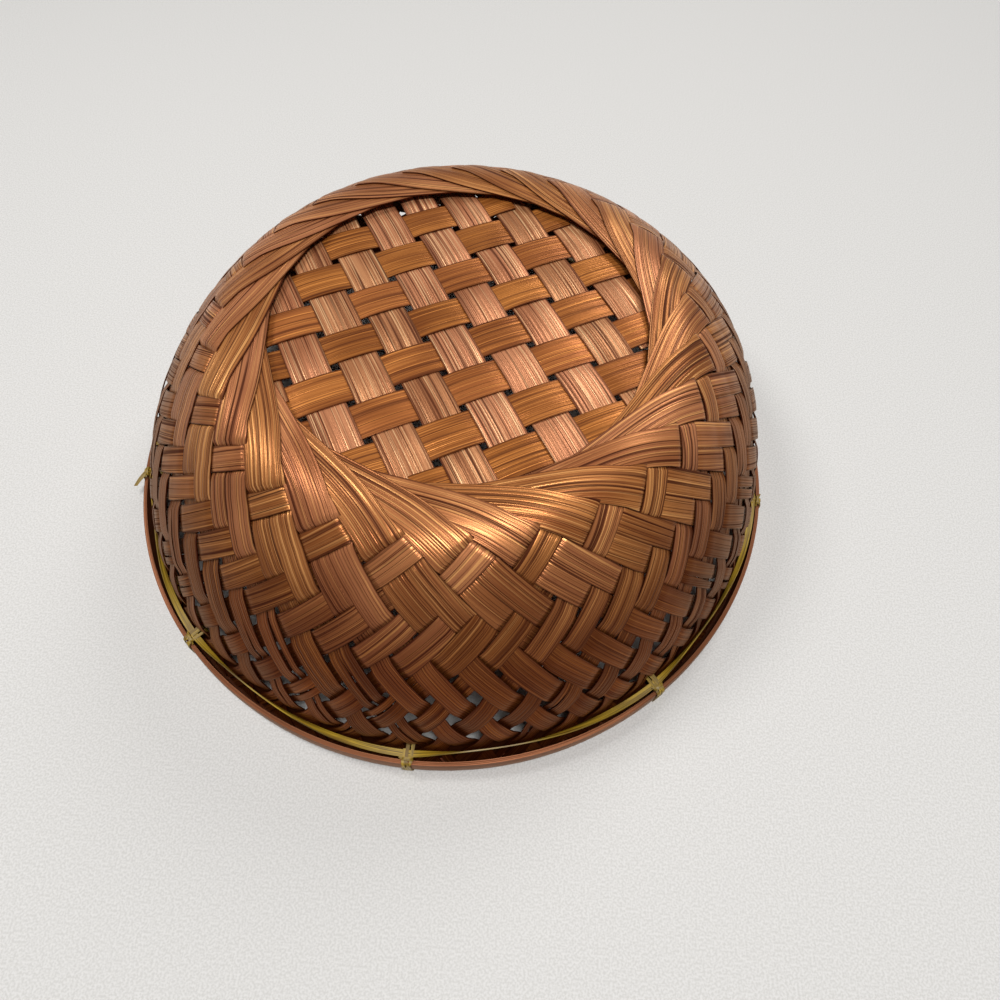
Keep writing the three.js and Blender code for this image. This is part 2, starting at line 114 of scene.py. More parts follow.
# %% [markdown]
# ## The wall's outline
# Ring and wall are one turned surface: a flat top, a tight shoulder and a long gentle arc down to the
# rim. A splint never leaves that surface by more than its weave, so a point of the basket needs just
# three numbers: how far round it lies, its arc length from the ring, and its height above the surface.
# The outline could be a drawn curve. Two arcs are chosen, because a formula can be asked for any point.

# %% Sizes of the wall
rim_radius = 0.1253
hoop_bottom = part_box("outer_hoop")[0].z
hoop_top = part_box("outer_hoop")[1].z
hoop_thickness = 0.0018
seat_gap = 0.0003
weave_height = 0.00055          # how far a finger's middle lies from the wall's middle surface
splint_thickness = 0.00036
ring_height = 0.0772            # middle surface of the ring
ring_radius = 0.0684            # circle that the middle of each splint touches
ring_flat_margin = 0.0006
shoulder_radius = 0.022
shoulder_angle = math.radians(46)

wall_rim_radius = rim_radius - hoop_thickness - seat_gap - weave_height - splint_thickness / 2
flat_radius = ring_radius + ring_flat_margin
shoulder_end = Vector((
    flat_radius + shoulder_radius * math.sin(shoulder_angle),
    ring_height - shoulder_radius * (1 - math.cos(shoulder_angle)),
))
chord = Vector((wall_rim_radius, 0)) - shoulder_end
rim_slope = 2 * math.atan2(-chord.y, chord.x) - shoulder_angle
wall_radius = chord.length / (2 * math.sin((rim_slope - shoulder_angle) / 2))
wall_start = ring_flat_margin + shoulder_radius * shoulder_angle
wall_length = wall_start + wall_radius * (rim_slope - shoulder_angle)
print("wall length:", round(wall_length * 1000, 1), "mm")


# %% Outline of the wall
def outline(arc):
    """Radius, height and slope of the middle surface at some arc lengths from the ring's circle."""
    arc = np.asarray(arc, float)
    on_shoulder = np.clip((arc - ring_flat_margin) / shoulder_radius, 0, shoulder_angle)
    on_wall = np.maximum(arc - wall_start, 0) / wall_radius
    slope = on_shoulder + on_wall
    radius = ring_radius + np.minimum(arc, ring_flat_margin)
    radius = radius + shoulder_radius * np.sin(on_shoulder)
    radius = radius + wall_radius * (np.sin(shoulder_angle + on_wall) - math.sin(shoulder_angle))
    height = ring_height - shoulder_radius * (1 - np.cos(on_shoulder))
    height = height - wall_radius * (math.cos(shoulder_angle) - np.cos(shoulder_angle + on_wall))
    return radius, height, slope


def arc_at_height(height):
    slope = math.acos(math.cos(shoulder_angle) - (shoulder_end.y - height) / wall_radius)
    return wall_start + (slope - shoulder_angle) * wall_radius


def wall_radius_at(height, offset):
    """Radius at a height of the surface that lies offset from the wall's middle surface."""
    radius, _, slope = outline(arc_at_height(height))
    return float(radius + offset / np.sin(slope))


print("radius at the hoops' top:", round(wall_radius_at(hoop_top, 0) * 1000, 1), "mm")

# %% [markdown]
# ## The hand-made shape
# A basket woven by hand is never quite round. This one is a little oval, its ring leans to one side, and
# its wall is fullest at the back right. A lattice modifier could bend the finished basket. A formula is
# chosen, because its numbers can be fitted to the photograph. All pieces are made on the round form and
# then settle together, so that what touches before still touches after.

# %% Settling
oval_share = 0.017              # longer by this share along one axis, shorter across it
oval_turn = math.radians(84.6)
ring_shift = (0.0017, 0.0004)
wall_fullness = 0.0017          # the wall bulges by this much halfway up, all round
bulge = 0.0087                  # and by this much more where it is fullest
bulge_turn = math.radians(58)
rim_zone = hoop_top + 0.00075   # nothing up to here leans or bulges


def settle(points):
    x, y, z = points.T
    azimuth = np.arctan2(y, x)
    level = np.clip((z - rim_zone) / (ring_height - rim_zone), 0, 1)
    towards_bulge = np.maximum(0, np.cos(azimuth - bulge_turn))
    swell = (wall_fullness + bulge * towards_bulge ** 2) * np.sin(math.pi * level)
    stretch = 2 * oval_share * (x * math.cos(oval_turn) + y * math.sin(oval_turn))
    settled_x = x * (1 - oval_share) + stretch * math.cos(oval_turn)
    settled_y = y * (1 - oval_share) + stretch * math.sin(oval_turn)
    settled_x = settled_x + swell * np.cos(azimuth) + ring_shift[0] * level
    settled_y = settled_y + swell * np.sin(azimuth) + ring_shift[1] * level
    return np.column_stack([settled_x, settled_y, z])


def settle_mesh(mesh):
    points = np.empty(len(mesh.vertices) * 3)
    mesh.vertices.foreach_get("co", points)
    mesh.vertices.foreach_set("co", settle(points.reshape(-1, 3)).ravel())
    mesh.update()


print("widest swell:", round((wall_fullness + bulge) * 1000, 1), "mm")

# %% [markdown]
# ## The path of a splint
# A stiff strip that lies flat on the wall runs almost straight: it keeps nearly the same lever arm about
# the basket's axis. Lever arm over radius is the cosine of its angle to the ring, and adding up that
# angle's cotangent tells how far round it has come. The sum runs over the root of the arc length,
# because a strip that touches a circle leaves it at an infinite rate.

# %% Lever arm of a splint
splint_count = 26
splint_width = 0.0116
splint_pitch = 2 * math.pi / splint_count
finger_pitch = splint_pitch / 2
row_turn = finger_pitch / 2     # the two families cross on rows this far apart
ring_turn = math.radians(-5.5)
bend_drop = 0.0064              # the lever arm shrinks by this much as the splint leaves the ring
ring_bend_length = 0.014
wall_bend_length = 0.050


def smoothstep(value, low, high):
    share = np.clip((value - low) / (high - low), 0, 1)
    return share * share * (3 - 2 * share)


def lever_arm(arc, wall_lever):
    ring_lever = ring_radius - bend_drop
    at_ring = smoothstep(arc, 0, ring_bend_length)
    on_wall = smoothstep(arc, ring_bend_length, ring_bend_length + wall_bend_length)
    return ring_radius - bend_drop * at_ring + (wall_lever - ring_lever) * on_wall


print(splint_count, "splints, one every", round(math.degrees(splint_pitch), 2), "degrees")

# %% [markdown]
# The lever arm on the wall isn't measured. It follows from the ties: they pass through a row of holes, and
# the path has to bring that row to the ties' height. Halving the range again and again finds the arm.

# %% Path of a splint
path_steps = 4000
path_reach = 1.25               # the path runs on past the rim, to this many lengths of the wall
smallest_angle = 1e-6
tie_row = 19                    # the row of holes that the ties pass through
tie_height = hoop_top + 0.000525
halvings = 30


def make_path(wall_lever):
    root = np.linspace(0, math.sqrt(wall_length * path_reach), path_steps)
    arc = root * root
    radius = outline(arc)[0]
    angle = np.arccos(np.minimum(1, lever_arm(arc, wall_lever) / radius))
    angle[0] = 0
    steep = np.maximum(angle[1:], smallest_angle)
    rate = np.full(path_steps, math.sqrt(2 / ring_radius))
    rate[1:] = 2 * root[1:] / (radius[1:] * np.tan(steep))
    stretch = np.full(path_steps, math.sqrt(2 * ring_radius))
    stretch[1:] = 2 * root[1:] / np.sin(steep)
    step = root[1]
    turn = np.concatenate(([0], np.cumsum((rate[1:] + rate[:-1]) / 2) * step))
    length = np.concatenate(([0], np.cumsum((stretch[1:] + stretch[:-1]) / 2) * step))
    return {"arc": arc, "turn": turn, "angle": angle, "length": length}


low_lever, high_lever = 0.02, rim_radius
for _ in range(halvings):
    wall_lever = (low_lever + high_lever) / 2
    path = make_path(wall_lever)
    if np.interp(arc_at_height(tie_height), path["arc"], path["turn"]) < tie_row * row_turn:
        low_lever = wall_lever
    else:
        high_lever = wall_lever
print("lever arm on the wall:", round(wall_lever * 1000, 2), "mm")


# %% Readings along the path
def turn_at(arc):
    return np.interp(np.sqrt(np.maximum(arc, 0)), np.sqrt(path["arc"]), path["turn"])


def angle_at(arc):
    return np.interp(np.sqrt(np.maximum(arc, 0)), np.sqrt(path["arc"]), path["angle"])


def spacing(arc):
    """Room for one splint across its run, which grows down the wall."""
    return splint_pitch * outline(arc)[0] * np.sin(angle_at(arc))


cover_arc = float(path["arc"][np.argmax(spacing(path["arc"]) > splint_width)])
print("splints cover each other for", round(cover_arc * 1000, 1), "mm, room at the rim",
      round(float(spacing(wall_length)) * 1000, 2), "mm")

# %% [markdown]
# ## Over and under
# Each splint lies on the next one all round the ring, so its left half comes out on top and its right
# half below. Past the ring both halves are split in two fingers, and the fingers are woven: first two
# over and two under, then one over and one under where the wall is steep and the rim needs grip.
# A list of all crossings could say who lies outside. A rule on row numbers does it in a few lines.

# %% The weave
first_row = 9
rows_of_two = 3
last_row = 22
long_float_arch = 0.15           # between two crossings on the same side a strip arches by this share


def left_is_outside(row, left_is_inner):
    if row < first_row:
        return True
    if row < first_row + 2:
        meets_inner = (not left_is_inner) if row % 2 == 0 else left_is_inner
        return not meets_inner
    past = row - first_row - 2
    band = past // 2 if past < 2 * rows_of_two else past - rows_of_two
    return band % 2 == 0


def right_is_outside(row, right_is_inner):
    left_is_inner = (not right_is_inner) if row % 2 == 0 else right_is_inner
    return not left_is_outside(row, left_is_inner)


def weave(place, centres, sides, sharpness, crown):
    """Height of a strip, from -1 to 1, where crossing strips lie at centres and sides says over or under."""
    centres = np.asarray(centres, float)
    sides = np.asarray(sides, float)
    cell = np.clip(np.searchsorted(centres, place) - 1, 0, len(centres) - 2)
    share = np.clip((place - centres[cell]) / (centres[cell + 1] - centres[cell]), 0, 1)
    near, far = sides[cell], sides[cell + 1]
    wave = np.cos(math.pi * share)
    change = near * np.tanh(sharpness * wave) / math.tanh(sharpness) * (1 - crown + crown * np.abs(wave))
    stay = near * (1 + long_float_arch * np.sin(math.pi * share))
    return np.where(near == far, stay, change)


print("rows of crossings on the wall:", first_row, "to", last_row)

# %% [markdown]
# ## A strip, flat and then bent
# A bmesh grid makes the flat strip. Its columns run along the bamboo's fibres and its rows lie across.
# Bending moves the vertices in one go, and the flat lengths are kept as the UV map, in metres, so that
# the fibres of the finish follow the strip wherever it goes. Solidify then gives the thickness, which
# keeps the mesh light and both faces exactly parallel.

# %% Strips
seed = random.Random(26)


def flat_strip(steps_along, steps_across):
    strip = bmesh.new()
    bmesh.ops.create_grid(strip, x_segments=steps_along, y_segments=steps_across, size=1.0)
    return strip


def bend(strip, shape):
    """Moves each vertex to where shape(along, across) says, and keeps its flat place and its marks."""
    flat = np.array([vertex.co[:2] for vertex in strip.verts])
    points, fibres, marks = shape(flat[:, 0], flat[:, 1])
    uv_layer = strip.loops.layers.uv.new("UVMap")
    mark_layers = {name: strip.verts.layers.float.new(name) for name in marks}
    for index, vertex in enumerate(strip.verts):
        vertex.index = index
        vertex.co = points[index]
        for name, layer in mark_layers.items():
            vertex[layer] = marks[name][index]
        for loop in vertex.link_loops:
            loop[uv_layer].uv = fibres[index]
    return strip


def on_wall(azimuth, arc, offset):
    """Points of the basket, offset along the wall's normal."""
    radius, height, slope = outline(arc)
    out = radius + offset * np.sin(slope)
    points = [out * np.cos(azimuth), out * np.sin(azimuth), height + offset * np.cos(slope)]
    return settle(np.stack(points, axis=1))


trial = flat_strip(3, 2)
print("a strip with 3 steps along and 2 across has", len(trial.verts), "vertices")
trial.free()

# %% Joining strips
weld_distance = 1e-6


def to_object(strips, name, thickness):
    """Joins bent strips in one piece, welds shared edges and gives them their thickness and crisp edges."""
    whole = bmesh.new()
    for strip in strips:
        part = bpy.data.meshes.new("part")
        strip.to_mesh(part)
        strip.free()
        whole.from_mesh(part)
        bpy.data.meshes.remove(part)
    bmesh.ops.remove_doubles(whole, verts=whole.verts, dist=weld_distance)
    bmesh.ops.recalc_face_normals(whole, faces=whole.faces)
    for face in whole.faces:
        face.smooth = True
    for edge in whole.edges:
        edge.smooth = not edge.is_boundary
    mesh = bpy.data.meshes.new(name)
    whole.to_mesh(mesh)
    whole.free()
    piece = bpy.data.objects.new(name, mesh)
    bpy.context.scene.collection.objects.link(piece)
    shell = piece.modifiers.new("thickness", "SOLIDIFY")
    shell.thickness = thickness
    shell.offset = 0
    return piece


print("edges closer than", weld_distance, "m are welded")

# %% [markdown]
# ## Shader maths in plain Python
# Node trees are hard to read as a list of links. A small class wraps a socket, so that sums and products
# of sockets can be written as formulas, and one method adds any other node by its type.

# %% A number on a surface
class Wire:
    """A number that changes over a surface."""

    def __init__(self, finish, socket):
        self.finish = finish
        self.socket = socket

    def math(self, operation, first, second=0.0):
        return self.finish.add("ShaderNodeMath", {"operation": operation}, {0: first, 1: second})

    def __add__(self, other):
        return self.math("ADD", self, other)

    def __sub__(self, other):
        return self.math("SUBTRACT", self, other)

    def __mul__(self, other):
        return self.math("MULTIPLY", self, other)

    def __truediv__(self, other):
        return self.math("DIVIDE", self, other)

    def __rsub__(self, other):
        return self.math("SUBTRACT", other, self)

    __radd__ = __add__
    __rmul__ = __mul__

    def size(self):
        return self.math("ABSOLUTE", self)

    def between(self, low, high):
        """0 below low, 1 above high and smooth from one to the other."""
        settings = {"interpolation_type": "SMOOTHSTEP"}
        return self.finish.add("ShaderNodeMapRange", settings, {0: self, 1: low, 2: high})


# %% A material
class Finish:
    """One material and the nodes that make it."""

    def __init__(self, name):
        self.material = bpy.data.materials.new(name)
        self.material.use_nodes = True
        self.tree = self.material.node_tree
        self.tree.nodes.clear()

    def add(self, kind, settings=None, sockets=None, output=0):
        node = self.tree.nodes.new(kind)
        for name, value in (settings or {}).items():
            setattr(node, name, value)
        for key, value in (sockets or {}).items():
            if isinstance(key, int):
                socket = node.inputs[key]
            else:
                socket = next(s for s in node.inputs if key in (s.identifier, s.name))
            if isinstance(value, Wire):
                self.tree.links.new(value.socket, socket)
            else:
                socket.default_value = value
        if isinstance(output, int):
            return Wire(self, node.outputs[output])
        return Wire(self, next(s for s in node.outputs if output in (s.identifier, s.name)))

    def attribute(self, name):
        return self.add("ShaderNodeAttribute", {"attribute_name": name}, output="Fac")

    def strip_place(self):
        """The place along and across the flat strip, in metres, from its UV map."""
        uv = self.add("ShaderNodeUVMap", {"uv_map": "UVMap"})
        along = self.add("ShaderNodeSeparateXYZ", None, {0: uv}, 0)
        across = self.add("ShaderNodeSeparateXYZ", None, {0: uv}, 1)
        return along, across

    def point(self, x, y, z=0.0):
        return self.add("ShaderNodeCombineXYZ", None, {0: x, 1: y, 2: z})

    def noise(self, x, y, z=0.0, detail=2.0, roughness=0.5):
        sockets = {"Vector": self.point(x, y, z), "Scale": 1.0, "Detail": detail, "Roughness": roughness}
        return self.add("ShaderNodeTexNoise", None, sockets, "Fac")

    def cells(self, x, y):
        """Distance to the edge of long cells: 0 on the thin lines between them."""
        settings = {"voronoi_dimensions": "2D", "feature": "DISTANCE_TO_EDGE"}
        sockets = {"Vector": self.point(x, y), "Scale": 1.0, "Randomness": 0.8}
        return self.add("ShaderNodeTexVoronoi", settings, sockets, "Distance")

    def mix(self, first, second, share, blend="MIX"):
        settings = {"data_type": "RGBA", "blend_type": blend}
        sockets = {"Factor_Float": share, "A_Color": first, "B_Color": second}
        return self.add("ShaderNodeMix", settings, sockets, "Result_Color")

    def bump(self, height):
        """A normal that follows a height given in metres."""
        sockets = {"Strength": 1.0, "Distance": 1.0, "Height": height}
        return self.add("ShaderNodeBump", None, sockets, "Normal")

    def surface(self, sockets):
        shader = self.add("ShaderNodeBsdfPrincipled", None, sockets)
        end = self.tree.nodes.new("ShaderNodeOutputMaterial")
        self.tree.links.new(shader.socket, end.inputs["Surface"])
        return self.material


# %% Colours
def paint(red, green, blue):
    """A colour as seen on a screen, 0 to 255, turned into the light values that shaders use."""
    channels = []
    for value in (red, green, blue):
        share = value / 255
        channels.append(share / 12.92 if share <= 0.04045 else ((share + 0.055) / 1.055) ** 2.4)
    return (*channels, 1.0)


def tinted(colour, gains):
    """A colour with its red, green and blue multiplied by three gains."""
    return tuple(min(1.0, gain * value) for gain, value in zip(gains, colour)) + (1.0,)


print("middle grey on a screen is", round(paint(128, 128, 128)[0], 3), "in light")

# %% [markdown]
# ## Split bamboo
# A splint is torn along its fibres, so it shows ridges about a millimetre apart, finer lines between
# them and, here and there, a dark slit where the fibres part. A photograph of bamboo could be laid on
# the strips, but it would repeat. So all marks are stretched noise, which changes fast across the strip
# and slowly along it. In each call below the first number counts changes per metre along, and a second
# number or a pitch does so across. A number after the shift only picks another pattern. The tone of a
# splint moves its patterns, so that no two splints are alike.

# %% Marks of split bamboo
ridge_pitch = 0.00088
fine_pitch = 0.00038
slit_pitch = 0.00032
glint_pitch = 0.0004
pattern_shift = 57.0             # the pattern moves by this much from the lowest tone to the highest


def bamboo_marks(finish, tone, depth, slits):
    """The marks that run along the fibres. Each goes from 0 to 1."""
    along, across = finish.strip_place()
    shift = tone * pattern_shift
    ridge = finish.cells(along * 3.0, across / ridge_pitch + shift)
    line_depth = finish.noise(along * 14.0, across * 900.0, shift + 3.0, 2.0)
    fine = finish.noise(along * 12.0, across / fine_pitch, shift + 5.0, 2.0, 0.6)
    slow = finish.noise(along * 34.0, across * 150.0, shift + 7.0, 3.0)
    slit = finish.noise(along * 6.0, across / slit_pitch, shift + 11.0, 0.0)
    painted_highlight = finish.noise(along * 9.0, across / glint_pitch, shift + 17.0, 1.0)
    fleck = finish.noise(along * 260.0, across / glint_pitch, shift + 23.0, 1.0)
    stain = finish.noise(along * 26.0, across * 45.0, shift + 31.0, 1.0)
    return {
        "groove": (1.0 - ridge.between(0.01, 0.15)) * line_depth.between(0.38, 0.56) * depth,
        "crest": ridge.between(0.0, 0.45) * depth,
        "fine": fine.between(0.32, 0.68),
        "slow": slow,
        "slit": (1.0 - slit.between(0.20, 0.27)) * slits,
        "painted_highlight": painted_highlight.between(0.57, 0.66),
        "fleck": fleck.between(0.68, 0.78),
        "stain": stain.between(0.45, 0.65),
    }


print("ridges on a wall splint:", round(splint_width / ridge_pitch))

# %% [markdown]
# The bamboo is stained and varnished. Its colour is built up in layers: the pale and the deep wood, the
# splint's own tone, pale streaks of painted highlight, stains, a darkening low on the wall that is partly
# the wood's deeper colour and partly painted shade, dark grooves and slits, and painted shade along cut
# and torn edges. The ridges also go to the bump, and that breaks the gloss up in streaks across the
# grain. A clear coat would shine white. A share of Metallic gives the gloss the colour of the fibres.

# %% Bamboo finish
ridge_relief = 0.00006
fibre_relief = 0.00003
slit_relief = 0.00010
painted_highlight_gain = (1.8, 1.95, 2.3)
# the dark of grooves, slits and flecks, and of the painted shade along edges
dark_line_and_edge_shade = (0.26, 0.12, 0.06)
darker_wood_and_shade_tint = (0.31, 0.195, 0.11, 1.0)      # the share of each colour kept where the darkening is full: deeper wood and painted shade
warm_edge = (1.0, 0.85, 0.65, 1.0)


def bamboo(name, light, deep, rosy, depth=1.0, slits=1.0, gloss=0.22):
    """Three colours of the wood, the strength of its grooves and slits, and its lowest roughness."""
    finish = Finish(name)
    tone = finish.attribute("tone")
    darker_wood_and_shade = finish.attribute("darker_wood_and_shade")
    # painted shade along the strips' cut and torn edges and in the gap between the hoops
    edge_shade = finish.attribute("edge").size().between(0.88, 1.0)
    marks = bamboo_marks(finish, tone, depth, slits)
    groove, fine, slow, slit = (marks[mark] for mark in ("groove", "fine", "slow", "slit"))

    colour = finish.mix(deep, light, slow.between(0.30, 0.70) * 0.45 + fine * 0.55)
    colour = finish.mix(colour, rosy, tone.between(0.1, 0.85) * 0.65)
    # painted highlight: pale streaks along the fibres
    colour = finish.mix(colour, tinted(light, painted_highlight_gain), marks["painted_highlight"] * 0.65)
    colour = finish.mix(colour, deep, marks["stain"] * 0.5)
    # darker low on the wall and on the hoops: partly deeper wood, partly painted shade
    colour = finish.mix(colour, darker_wood_and_shade_tint, darker_wood_and_shade, "MULTIPLY")
    # grooves, slits and flecks are the wood's dark lines; the edge mark gets painted shade
    for mark, strength in ((groove, 0.9), (slit, 0.9), (marks["fleck"], 0.3), (edge_shade, 0.85)):
        colour = finish.mix(colour, tinted(deep, dark_line_and_edge_shade), mark * strength)

    height = marks["crest"] * ridge_relief + fine * fibre_relief - slit * slit_relief
    return finish.surface({
        "Base Color": colour,
        "Roughness": groove * 0.3 + slit * 0.3 + slow * 0.14 + darker_wood_and_shade * 0.08 + gloss,
        "Normal": finish.bump(height),
        "Metallic": darker_wood_and_shade * 0.3 + 0.38,
        "Specular IOR Level": 0.25,
        "Specular Tint": warm_edge,
    })


wall_finish = bamboo("wall bamboo", paint(206, 137, 76), paint(126, 65, 28), paint(196, 126, 88), 1.05, 1.0)
rosy_finish = bamboo("rosy mat bamboo", paint(220, 156, 106), paint(140, 82, 48), paint(206, 134, 96), 1.05)
golden_finish = bamboo(
    "golden mat bamboo", paint(196, 122, 56), paint(126, 66, 26), paint(178, 104, 56), 0.85, 0.8,
)
print("nodes in the wall's finish:", len(wall_finish.node_tree.nodes))

# %% [markdown]
# ## The wall splints
# One splint is two strips side by side, an inner and an outer finger, which share their middle edge on
# the ring and part where the weave begins. Where a hand splits bamboo the two fingers are never equally
# wide, so each splint draws its own split, tone and small wanderings. The draws come first, because a
# finger also has to know how wide its neighbours are.

# %% Draws for the wall splints
torn_share = 0.45                # this share of the fingers is torn once more, lengthwise
tear_start = (0.040, 0.070)      # arc where the tear starts
tear_width = (0.0004, 0.0013)

splits = [seed.uniform(-0.0007, 0.0007) for _ in range(splint_count)]
tones = [seed.random() for _ in range(splint_count)]
wanders = [[seed.uniform(-1, 1) for _ in range(4)] for _ in range(2 * splint_count)]
width_shares = [seed.uniform(0.86, 1.08) for _ in range(2 * splint_count)]
is_torn = [seed.random() < torn_share for _ in range(2 * splint_count)]
tears = [
    {
        "place": seed.uniform(-0.45, 0.45),
        "starts": [seed.uniform(*tear_start) for _ in range(2)],
        "widths": [seed.uniform(*tear_width) for _ in range(2)],
    }
    for _ in range(2 * splint_count)
]
print("torn fingers:", sum(is_torn), "of", len(is_torn))

# %% [markdown]
# A finger rises and dives where others cross it. Those others are uneven too, so each crossing is looked
# up in the neighbour's own edges, and not taken from a regular grid.

# %% Edges and crossings of a finger
widest_finger = 0.0086           # below the ring
narrowest_finger = 0.0078        # near the rim
taper_start, taper_end = 0.040, 0.080
part_start, part_end = 0.028, 0.055


def finger_sides(arc, k, is_inner):
    """Both edges of a finger, measured across from the middle of its splint."""
    outwards = -1 if is_inner else 1
    room = np.maximum(spacing(arc), splint_width) / 2
    taper = smoothstep(arc, taper_start, taper_end)
    loose = (widest_finger + (narrowest_finger - widest_finger) * taper) * width_shares[2 * k + is_inner]
    width = np.minimum(room - outwards * splits[k], loose)
    apart = (room - width) / 2 * smoothstep(arc, part_start, part_end)
    near = splits[k] + outwards * apart
    far = near + outwards * width
    return (far, near) if is_inner else (near, far)


def crossing_rows(k, is_inner, hand):
    """Where the other family's fingers cross this one, in finger pitches, and whether it lies outside."""
    own = 0.5 if is_inner else -0.5
    is_outside = left_is_outside if hand > 0 else right_is_outside
    centres, sides = [], []
    for row in range(first_row if is_inner else first_row + 1, last_row + 1):
        other_is_inner = (not is_inner) if row % 2 == 0 else is_inner
        other = 0.5 if other_is_inner else -0.5
        other_k = (k + hand * round((row + own + other) / 2)) % splint_count
        arc = float(np.interp(row * row_turn, path["turn"], path["arc"]))
        low, high = finger_sides(arc, other_k, other_is_inner)
        true_centre = -(low + high) / 2 / (spacing(arc) / 2)
        centres.append(row - (true_centre - other))
        sides.append(1 if is_outside(row, is_inner) else -1)
    return centres, sides


print("crossings of an inner finger:", len(crossing_rows(0, True, 1)[0]))

# %% [markdown]
# ## Cut ends and tears
# The maker cuts the splints level along the rim once the hoops are on. A strip that crosses the rim at a
# slant would poke out at one corner, so its length is worked out again for each place across it. Low on
# the wall about half of the fingers have torn along the fibres, as thin bamboo does where a hoop draws it
# in. A boolean cut would leave ragged faces, so a torn finger is simply two strips that draw apart.

# %% Ends and tears
foot_start = arc_at_height(hoop_top)
foot_end = arc_at_height(hoop_bottom + 0.001)
tear_length = 0.02               # a tear opens over this much arc
tear_waves = 130                 # and its edges wave with this many radians per metre


def reach(k, is_inner, across):
    """Half a splint's length at each place across it, so that its ends are cut level at the rim."""
    low, high = finger_sides(foot_end, k, is_inner)
    side = low + (high - low) * (across + 1) / 2
    angle = float(angle_at(foot_end))
    radius = float(outline(foot_end)[0])
    ahead = side * math.cos(angle) + (side * math.sin(angle)) ** 2 / (2 * radius)
    return np.interp(foot_end - ahead, path["arc"], path["length"])


def tear_open(arc, hand, along, tear):
    """How far the tear of a finger has opened."""
    is_right = (hand > 0).astype(int)
    start = np.array(tear["starts"])[is_right]
    widest = np.array(tear["widths"])[is_right]
    return widest * smoothstep(arc, start, start + tear_length) * (0.75 + 0.25 * np.sin(along * tear_waves))


print("half length of a finger:", round(float(reach(0, True, 0)) * 1000, 1), "mm")

# %% [markdown]
# ## The bend of a finger
# A point of a finger is known by its length along the splint and its side step from the middle line. On
# the ring the side step is taken square to the path, which keeps the strip flat. Further down it is taken
# along the row, so that a wide finger follows the spacing of the weave.

# %% Place and height of a finger
over_bow = 0.0002                # a finger that lies outside arches this much higher
visual_layer = 0.0005            # from one ring layer to the next
least_angle = 0.05               # keeps a side step along the row finite on the ring
weave_sharpness, weave_crown = 2.4, 0.18
weave_begins = (0.85, 0.42)      # in finger pitches before the first crossing


def finger_place(arc0, side):
    """Arc length and turn of points that lie a side step away from the splint's middle line."""
    angle0 = angle_at(arc0)
    radius0 = outline(arc0)[0]
    forward = radius0 + side * np.cos(angle0)
    aside = side * np.sin(angle0)
    arc = arc0 + np.hypot(forward, aside) - radius0
    square = turn_at(arc0) - np.arctan2(aside, forward)
    line = turn_at(arc) - side / (outline(arc)[0] * np.sin(np.maximum(angle_at(arc), least_angle)))
    return arc, square + (line - square) * smoothstep(arc, splint_width / 2, cover_arc)


def finger_height(k, is_inner, hand, arc, azimuth):
    """How far a finger lies off the wall's middle surface: in layers on the ring, and then woven."""
    offset = hand * azimuth * visual_layer / splint_pitch
    own = finger_pitch * (0.5 if is_inner else -0.5)
    place = (azimuth + turn_at(arc) - own) / finger_pitch
    for side_hand in (1, -1):
        centres, sides = crossing_rows(k, is_inner, side_hand)
        level = weave(place, centres, sides, weave_sharpness, weave_crown)
        woven = weave_height * level + over_bow * np.maximum(level, 0) ** 2
        here = smoothstep(place, centres[0] - weave_begins[0], centres[0] - weave_begins[1])
        offset = np.where(hand == side_hand, offset + (woven - offset) * here, offset)
    return offset


print("from one finger to the next:", round(math.degrees(finger_pitch), 2), "degrees")

# %% [markdown]
# Low down the inner hoop draws the wall in, and at the very rim the ends press against the outer hoop.
# The marks for the finish are stored per vertex: the splint's tone, how far it is darkened, partly by
# painted shade, and how near a point is to a cut or torn edge, where the finish paints shade.

# %% Shape of a finger
rim_pinch = 0.0012               # the inner hoop draws the fingers' ends in
pinch_start = arc_at_height(hoop_top + 0.008)
foot_push = 0.0002               # at the very rim they press against the outer hoop
foot_flattening = 0.6            # and by this share they lose their weave
wander_at_ring, wander_growth = 0.00008, 0.00016
cupping = 0.00008                # the edges of a woven finger lie this much lower than its middle
torn_step = 0.1                  # the sides of a tear step up and down by this share of its width
open_width = 0.0004              # a tear this wide gets full painted shade along its edges
# the wall darkens between these arcs below the ring: partly deeper wood, partly painted shade
darkening_from, darkening_to = 0.008, 0.060
fibre_spacing = 0.05             # keeps the patterns of neighbouring splints apart


